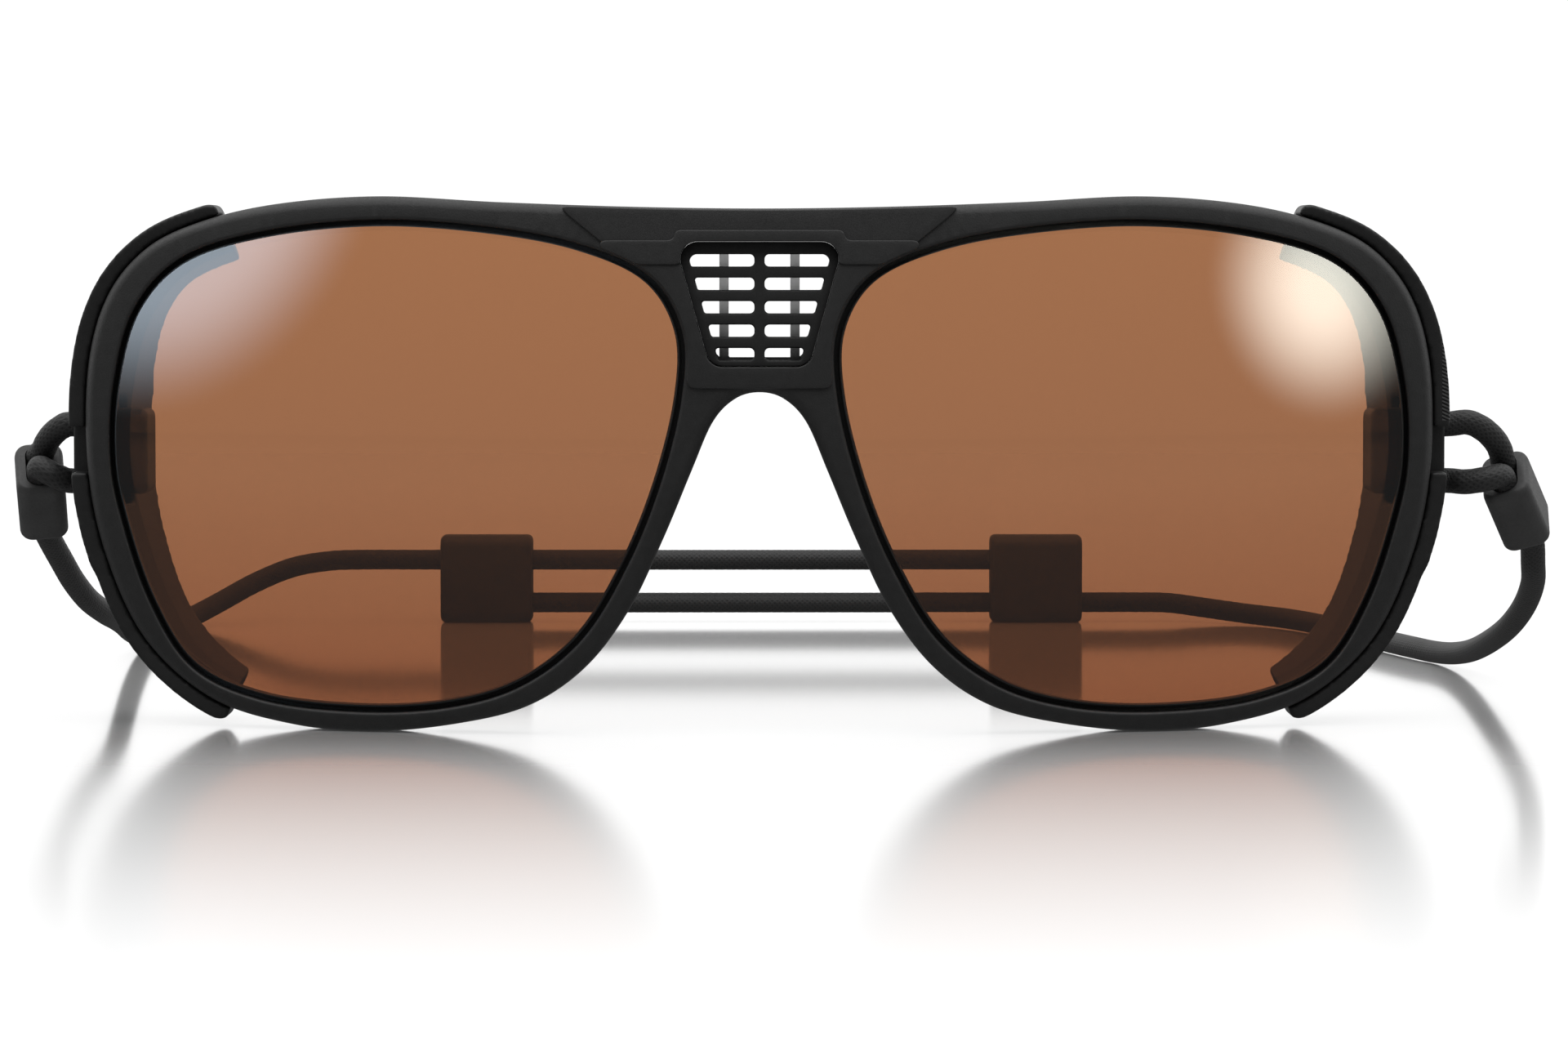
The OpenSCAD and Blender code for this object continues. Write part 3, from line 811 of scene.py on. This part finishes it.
cover_line = softened(mirror_outline(cover_half()), FINE, 44)
plate = Shell(wrapped)
rim = plate.wall(cover_line, edge(*COVER_DEPTH, 0.14, 0.1))
hole = plate.wall(vent_line(0), edge(*COVER_DEPTH, 0.12, 0.1, side=-1))
plate.cap(COVER_DEPTH[0], [rim[0], hole[0]], 0.9)
plate.cap(COVER_DEPTH[1], [rim[1], hole[1]], 0.9)

side = lens_side(54, COVER_CORNER[1])
side = side[side[:, 0] < 17.2]
vent_edge = vent_line(-0.04, 0.05)
vent_side = vent_line(-0.04, 0.2)
vent_side = vent_side[(vent_side[:, 0] >= 0) & (vent_side[:, 1] > COVER_CORNER[1])]
band_half = BAND_TOP + [tuple(p) for p in side] + [(side[-1][0] - 0.1, COVER_CORNER[1])]
vent_side = vent_side[np.argsort(np.arctan2(vent_side[:, 1] - 49, vent_side[:, 0]))]
band_half += [(vent_side[0][0], COVER_CORNER[1])] + [tuple(p) for p in vent_side]
band_line = softened(mirror_outline(band_half), FINE, 14)
# The edge beside the vent follows the opening exactly.
for i, p in enumerate(band_line):
    gaps = np.linalg.norm(vent_edge - p, axis=1)
    if gaps.min() < 0.4:
        band_line[i] = vent_edge[gaps.argmin()]
band_line = evenly(band_line, FINE, closed=True)
band = plain_solid(wrapped, band_line, edge(*BAND_DEPTH, 0.12, 0.05), 0.8)
make_piece("nose_cover", *joined([plate, band]), cover_black, "glasses", "frame", ["bridge_cover"],
           sharp=SHARP)

SLOT_TOP, SLOT_PITCH, SLOT_H, SLOT_ROWS = 51.7, 2.5, 1.3, 5
SLOT_REACH, SLOT_TAPER, MULLION = 7.55, 0.74, 1.1
SLOPE = 0.28
VENT_GAP = 0.05
GRILLE_DEPTH = (1.1, 2.7)


def slot_outline(row, sign):
    top = SLOT_TOP - row * SLOT_PITCH
    reach = SLOT_REACH - SLOT_TAPER * row
    lean = SLOPE * SLOT_H / 2
    inner = MULLION / 2
    corners = [(inner, top), (inner, top - SLOT_H), (reach - lean, top - SLOT_H), (reach + lean, top)]
    radii = [0.5, 0.5, 0.3, 0.8 if row == 0 else 0.3]
    line = rounded(turned(corners), radii, 0.12)
    return line if sign > 0 else flipped(line)


grille = Shell(wrapped)
ends = [grille.wall(vent_line(-VENT_GAP), edge(*GRILLE_DEPTH, 0.1, 0.1))]
for row in range(SLOT_ROWS):
    for sign in (-1, 1):
        ends.append(grille.wall(slot_outline(row, sign), edge(*GRILLE_DEPTH, 0.2, 0.1, side=-1)))
grille.cap(GRILLE_DEPTH[0], [front for front, _ in ends], 0.7)
grille.cap(GRILLE_DEPTH[1], [back for _, back in ends], 0.7)
make_piece("vent_louvre", *joined([grille]), vent_black_painted_shade, "glasses", "vent", ["vent_grille"], sharp=SHARP)

RIB_X, RIB_W, RIB_RING, RIB_DEPTH = 3.8, 1.0, 1.0, (2.75, 4.0)
ribs = Shell(wrapped)
ends = [ribs.wall(vent_line(-VENT_GAP), edge(*RIB_DEPTH, 0.1, 0.1))]
cell = vent_line(-RIB_RING)
rib_inner, rib_outer = RIB_X - RIB_W / 2, RIB_X + RIB_W / 2
for low, high in ((-20, -rib_outer), (-rib_inner, rib_inner), (rib_outer, 20)):
    line = cell.copy()
    line[:, 0] = np.clip(line[:, 0], low, high)
    ends.append(ribs.wall(evenly(line, 0.25, True), edge(*RIB_DEPTH, 0.12, 0.12, side=-1)))
ribs.cap(RIB_DEPTH[0], [front for front, _ in ends], 0.7)
ribs.cap(RIB_DEPTH[1], [back for _, back in ends], 0.7)
make_piece("vent_bars", *joined([ribs]), rib_grey_painted_light, "glasses", "vent", ["vent_ribs"], sharp=SHARP)

PAD_ENDS = [(14.5, 15.5), (10.4, 25.0)]
PAD_R, PAD_T = 1.4, 2.0
for side, sign in SIDES.items():
    outline = hull_of([(sign * x, z, PAD_R) for x, z in PAD_ENDS], 0.25)
    shell = plain_solid(wrapped, outline, edge(RIM - 0.1, RIM + PAD_T, 0.05, 1.0), 0.6)
    make_piece("nose_rest_" + side, *joined([shell]), pad_black, "glasses", "silicone", ["nose_pad_" + side])

# ---- beads, sliders and the metal bits in them -------------------------------


def bead_place(side):
    """Places flat points of a bead's own X and Y at depths behind its mouth."""
    return lambda flat, depth: bead_points(side, np.column_stack([flat, BEAD_L / 2 - depth]))


def stadium(radius, spacing=0.2):
    return hull_of([(0, s * STRAND_GAP / 2, radius) for s in (-1, 1)], spacing)


for side in SIDES:
    shell = Shell(bead_place(side))
    outline = box_outline((-BEAD_W / 2, -BEAD_D / 2), (BEAD_W / 2, BEAD_D / 2), 1.5, 0.18)
    profile = [(0.45 * d, z) for d, z in fillet(1.0)] + [(d, BEAD_L - z) for d, z in fillet(0.7)][::-1]
    front, back = shell.wall(outline, profile)
    floor = BEAD_L - BEAD_FLOOR
    mouth, bottom = shell.wall(stadium(HOLE_R), [(0, 0), (0, floor)])
    inner, tail = shell.wall(circle(0, 0, HOLE_R - 0.03, 40),
                             [(0, floor)] + [(-d, BEAD_L - z) for d, z in fillet(0.25)][::-1])
    shell.cap(0, [front, mouth], 0.5)
    shell.cap(floor, [bottom, inner], 0.5)
    shell.cap(BEAD_L, [back, tail], 0.5)
    make_piece("cord_bead_" + side, *joined([shell]), bead_black, "loop_end_" + side, "bead",
               ["bead_" + side], sharp=SHARP)

    top = floor - CRIMP_L - 0.05
    shell = plain_solid(bead_place(side), stadium(HOLE_R - 0.05), edge(top, floor - 0.05, 0.3, 0.3), 0.5)
    make_piece("cord_crimp_" + side, *joined([shell]), metal_grey, "loop_end_" + side, "metal",
               ["crimp_" + side], sharp=SHARP)

for side, sign in SIDES.items():
    through, blind = SLIDER_HOLES[::-1] if side == "left" else SLIDER_HOLES
    middle = SLIDER_X[side]

    def place(flat, depth, sign=sign, middle=middle):
        x = middle - sign * (SLIDER_W / 2 - depth)
        return np.stack([x, SLIDER_Y + flat[:, 0], flat[:, 1]], axis=1)

    shell = Shell(place)
    outline = box_outline((-SLIDER_D / 2, 0), (SLIDER_D / 2, SLIDER_H), 1.6, 0.25)
    front, back = shell.wall(outline, edge(0, SLIDER_W, 0.75, 0.75))
    way, out = shell.wall(circle(0, through, HOLE_R), edge(0, SLIDER_W, 0.3, 0.3, side=-1))
    floor = SLIDER_W - STOP_WALL
    bore = [(-d, z) for d, z in fillet(0.3)]
    bore += [(0, floor - STOP_L - 0.05), (STOP_R - HOLE_R, floor - STOP_L - 0.05), (STOP_R - HOLE_R, floor)]
    mouth, bottom = shell.wall(circle(0, blind, HOLE_R), bore)
    shell.cap(0, [front, way, mouth], 0.7)
    shell.cap(floor, [bottom], 0.7)
    shell.cap(SLIDER_W, [back, out], 0.7)
    body = "adjuster_" + side
    make_piece("cord_slider_" + side, *joined([shell]), bead_black, body, "bead", ["slider_" + side],
               sharp=SHARP)

    shell = plain_solid(place, circle(0, blind, STOP_R - 0.05),
                        edge(floor - STOP_L + 0.05, floor, 0.3, 0.3), 0.7)
    make_piece("cord_stop_" + side, *joined([shell]), metal_grey, body, "metal", ["end_stop_" + side],
               sharp=SHARP)

# ---- side shields ------------------------------------------------------------

LIP_GAP, LIP_OUT, LIP_EASE, SHIELD_T = 0.15, 2.2, 0.6, 1.4
SHIELD_SPAN = (4.8, 12.25)
LIP_DEPTH = (2.0, 8.5)
FLANGE_IN = 2.4
WALL_DEPTH, WALL_IN, WALL_EASE = (16.5, 20.0), (3.6, 5.8), 1.6
LIP_NOTCH = (27.7, 32.7)
LUG_WINDOW = (24.0, 35.7)
WINDOW_Y = (5.1, 12.0)
LIP_STEP, LIP_STEP_Z = 0.25, 17.6
SHIELD_STEPS = 220
VOXEL = 0.26


def on_outline(t):
    """Point of the frame's outline at a place counted in its given points."""
    k = int(t)
    a, b, c, d = (np.array(FRAME_HALF[i], float) for i in (k - 1, k, k + 1, k + 2))
    t -= k
    return 0.5 * (2 * b + (c - a) * t + (2 * a - 5 * b + 4 * c - d) * t * t + (3 * b - a - 3 * c + d) * t**3)


def wrap_y(depth, p):
    return wrapped(np.array([p]), np.array([depth]))[0][1]


def shield_section(u, sign):
    t = SHIELD_SPAN[0] + u * (SHIELD_SPAN[1] - SHIELD_SPAN[0])
    a, ahead = on_outline(t), on_outline(t + 0.01) - on_outline(t)
    out = np.array([-ahead[1], ahead[0]]) / np.linalg.norm(ahead)
    middle = math.sin(math.pi * u)
    depth = WALL_DEPTH[0] + middle * (WALL_DEPTH[1] - WALL_DEPTH[0])
    inward = WALL_IN[0] + middle * (WALL_IN[1] - WALL_IN[0]) + WALL_EASE * (1 - u) ** 4
    near_end = min(1, min(u, 1 - u) * 48)
    lip = (LIP_OUT - LIP_EASE * (1 - u) ** 2 - 0.9 * (1 - math.sqrt(1 - (1 - near_end) ** 2)))
    lip -= LIP_STEP * min(1, max(0, (LIP_STEP_Z - a[1]) / 1.5 + 0.5))
    front, back = wrap_y(0, a), wrap_y(RIM, a) + LIP_GAP
    section = [(LIP_GAP, front + LIP_DEPTH[0]), (lip, front + LIP_DEPTH[0]), (lip, front + LIP_DEPTH[1]),
               (SHIELD_T - inward, front + depth), (-inward, front + depth), (-FLANGE_IN, back + SHIELD_T),
               (-FLANGE_IN, back), (LIP_GAP, back)]
    return [(sign * (a[0] + d * out[0]), y, a[1] + d * out[1]) for d, y in section]


def box_object(low, high):
    mesh = bpy.data.meshes.new("cutter")
    bm = bmesh.new()
    bmesh.ops.create_cube(bm, size=1)
    middle, size = (Vector(low) + Vector(high)) / 2, Vector(high) - Vector(low)
    for v in bm.verts:
        v.co = Vector([m + c * s for m, c, s in zip(middle, v.co, size)]) * MM
    bm.to_mesh(mesh)
    bm.free()
    cutter = bpy.data.objects.new("cutter", mesh)
    bpy.context.scene.collection.objects.link(cutter)
    return cutter


def make_shield(side):
    sign = SIDES[side]
    steps = np.concatenate([[0, 0.002, 0.005, 0.01, 0.016], np.linspace(0.022, 0.978, SHIELD_STEPS),
                            [0.984, 0.99, 0.995, 0.998, 1]])
    points = np.array([p for u in steps for p in shield_section(u, sign)])
    faces = [(i * 8 + k, i * 8 + (k + 1) % 8, (i + 1) * 8 + (k + 1) % 8, (i + 1) * 8 + k)
             for i in range(len(steps) - 1) for k in range(8)]
    last = (len(steps) - 1) * 8
    cap = [(0, 1, 7), (1, 2, 7), (2, 3, 5), (3, 4, 5), (5, 6, 7), (2, 5, 7)]
    faces += cap + [tuple(last + k for k in face) for face in cap]
    mesh = bpy.data.meshes.new("side_shield_" + side)
    mesh.from_pydata([tuple(p) for p in points * MM], [], faces)
    bm = bmesh.new()
    bm.from_mesh(mesh)
    bmesh.ops.recalc_face_normals(bm, faces=bm.faces)
    bm.to_mesh(mesh)
    bm.free()
    piece = bpy.data.objects.new("side_shield_" + side, mesh)
    bpy.context.scene.collection.objects.link(piece)
    x_range = sorted((sign * 60, sign * 80))
    cutters = [
        box_object((x_range[0], WINDOW_Y[0], LUG_WINDOW[0]), (x_range[1], WINDOW_Y[1], LUG_WINDOW[1])),
        box_object((x_range[0], -19, LIP_NOTCH[0]), (x_range[1], WINDOW_Y[0] + 1, LIP_NOTCH[1])),
    ]
    for cutter in cutters:
        cut = piece.modifiers.new("cut", "BOOLEAN")
        cut.object = cutter
        cut.operation = "DIFFERENCE"
        cut.solver = "EXACT"
    remesh = piece.modifiers.new("remesh", "REMESH")
    remesh.mode = "VOXEL"
    remesh.voxel_size = VOXEL * MM
    smooth = piece.modifiers.new("smooth", "SMOOTH")
    smooth.factor = 0.5
    smooth.iterations = 6
    made = bpy.data.meshes.new_from_object(piece.evaluated_get(bpy.context.evaluated_depsgraph_get()))
    piece.modifiers.clear()
    piece.data = made
    for cutter in cutters:
        bpy.data.objects.remove(cutter)
    dress(piece, shield_black, "glasses", ["shield_" + side])


for side in SIDES:
    make_shield(side)

# ---- floor and light ---------------------------------------------------------


def flat_stage(name, corners, material):
    mesh = bpy.data.meshes.new(name)
    mesh.from_pydata([tuple(Vector(c) * MM) for c in corners], [], [range(len(corners))])
    mesh.materials.append(material)
    piece = bpy.data.objects.new(name, mesh)
    bpy.context.scene.collection.objects.link(piece)
    return piece


def glowing(name, colour, strength, edge_start):
    """Round light that fades out towards its edge."""
    made = Nodes(name)
    made.tree.nodes.remove(made.shader)
    x, y, _ = made.axes()
    r = made.math("SQRT", made.math("ADD", made.math("MULTIPLY", x, x), made.math("MULTIPLY", y, y)), 0)
    fade = made.add("MapRange", {"interpolation_type": "SMOOTHSTEP"}, Value=r, From_Min=edge_start,
                    From_Max=1.0, To_Min=strength, To_Max=0.0)
    emission = made.add("Emission", Color=(*colour, 1), Strength=fade.outputs["Result"])
    clear = made.add("BsdfTransparent")
    both = made.tree.nodes.new("ShaderNodeAddShader")
    made.tree.links.new(emission.outputs[0], both.inputs[0])
    made.tree.links.new(clear.outputs[0], both.inputs[1])
    made.tree.links.new(both.outputs[0], made.tree.nodes["Material Output"].inputs["Surface"])
    return made.material


MIRROR_Y = (-245 * MM, -19 * MM)


def floor_white():
    """Pale table, whose mirror finish fades out towards the viewer."""
    made = Nodes("table white")
    made.tree.nodes.remove(made.shader)
    _, y, _ = made.axes()
    near = made.add("MapRange", Value=y, From_Min=MIRROR_Y[0], From_Max=MIRROR_Y[1], To_Min=0.0, To_Max=0.8)
    rough = made.add("MapRange", Value=y, From_Min=MIRROR_Y[0], From_Max=MIRROR_Y[1], To_Min=0.2, To_Max=0.09)
    matte = made.add("BsdfDiffuse", Color=(0.75, 0.75, 0.75, 1))
    gloss = made.add("BsdfAnisotropic", Color=(1, 1, 1, 1), Roughness=rough.outputs["Result"])
    mix = made.add("MixShader", Fac=near.outputs["Result"])
    made.tree.links.new(matte.outputs[0], mix.inputs[1])
    made.tree.links.new(gloss.outputs[0], mix.inputs[2])
    made.tree.links.new(mix.outputs[0], made.tree.nodes["Material Output"].inputs["Surface"])
    return made.material


TABLE_REACH, TABLE_BACK = 3000, 810
table = flat_stage("table", [(-TABLE_REACH, -TABLE_REACH, 0), (TABLE_REACH, -TABLE_REACH, 0),
                             (TABLE_REACH, TABLE_BACK, 0), (-TABLE_REACH, TABLE_BACK, 0)], floor_white())
table.visible_glossy = False


def softbox(name, toward, from_point, distance, radius, colour, strength, edge_start):
    """A round light that only the lenses mirror."""
    toward = Vector(toward).normalized()
    place = (Vector(from_point) + toward * distance) * MM
    mesh = bpy.data.meshes.new(name)
    bm = bmesh.new()
    bmesh.ops.create_circle(bm, cap_ends=True, segments=64, radius=1.0)
    bm.to_mesh(mesh)
    bm.free()
    mesh.materials.append(glowing(name, colour, strength, edge_start))
    disc = bpy.data.objects.new(name, mesh)
    disc.location = place
    disc.rotation_euler = toward.to_track_quat("Z", "Y").to_euler()
    disc.scale = (radius * MM,) * 3
    disc.light_linking.receiver_collection = lenses
    disc.visible_camera = disc.visible_diffuse = disc.visible_transmission = False
    bpy.context.scene.collection.objects.link(disc)


softbox("warm_light", (0.768, -0.611, 0.191), (62, -5, 46), 600, 131, (1.0, 0.99, 0.875), 14.2, 0.08)
softbox("dim_light", (-0.786, -0.491, 0.375), (-58, -6, 48), 600, 255, (0.72, 0.86, 1.0), 6.6, 0.48)


def area_light(name, place, size, radiance, toward=(0, 0, 0)):
    light = bpy.data.lights.new(name, "AREA")
    light.shape = "RECTANGLE"
    light.size, light.size_y = size[0] * MM, size[1] * MM
    light.energy = radiance * math.pi * light.size * light.size_y
    holder = bpy.data.objects.new(name, light)
    holder.location = Vector(place) * MM
    holder.rotation_euler = (Vector(place) - Vector(toward)).to_track_quat("Z", "Y").to_euler()
    bpy.context.scene.collection.objects.link(holder)


area_light("overhead", (0, -100, 1100), (2600, 2200), 1.7, (0, 60, 0))

world = bpy.data.worlds.new("room")
bpy.context.scene.world = world
world.use_nodes = True
background = world.node_tree.nodes["Background"]
background.inputs["Color"].default_value = (1, 1, 1, 1)
tree = world.node_tree
ray_kind = tree.nodes.new("ShaderNodeLightPath")
coordinates = tree.nodes.new("ShaderNodeTexCoord")
direction = tree.nodes.new("ShaderNodeSeparateXYZ")
tree.links.new(coordinates.outputs["Generated"], direction.inputs["Vector"])

WHITE = 1.05
DIM, DIM_MIRRORED = 0.38, 0.2


def by_ray(ray, otherwise, value):
    """The value for one kind of ray, and another one for the rest."""
    choice = tree.nodes.new("ShaderNodeMix")
    tree.links.new(ray_kind.outputs[ray], choice.inputs["Factor"])
    if isinstance(otherwise, bpy.types.NodeSocket):
        tree.links.new(otherwise, choice.inputs["A"])
    else:
        choice.inputs["A"].default_value = otherwise
    choice.inputs["B"].default_value = value
    return choice.outputs["Result"]


def faded(axis, low, high):
    """0 to 1 as one axis of the direction goes from low to high."""
    fade = tree.nodes.new("ShaderNodeMapRange")
    tree.links.new(direction.outputs[axis], fade.inputs["Value"])
    fade.inputs["From Min"].default_value = low
    fade.inputs["From Max"].default_value = high
    return fade.outputs["Result"]


def product(a, b):
    node = tree.nodes.new("ShaderNodeMath")
    node.operation = "MULTIPLY"
    tree.links.new(a, node.inputs[0])
    tree.links.new(b, node.inputs[1])
    return node.outputs[0]


# The room is white behind the glasses and beside them, up to about 40 degrees, and dim elsewhere.
behind = product(faded("Y", -0.25, 0.15), product(faded("Z", -0.03, 0.0), faded("Z", 0.75, 0.55)))
dim = by_ray("Is Glossy Ray", DIM, DIM_MIRRORED)
room = tree.nodes.new("ShaderNodeMix")
tree.links.new(behind, room.inputs["Factor"])
tree.links.new(dim, room.inputs["A"])
room.inputs["B"].default_value = WHITE
level = room.outputs["Result"]
level = by_ray("Is Transmission Ray", level, WHITE)
level = by_ray("Is Camera Ray", level, WHITE)
tree.links.new(level, background.inputs["Strength"])

bpy.context.scene.view_settings.view_transform = "Standard"
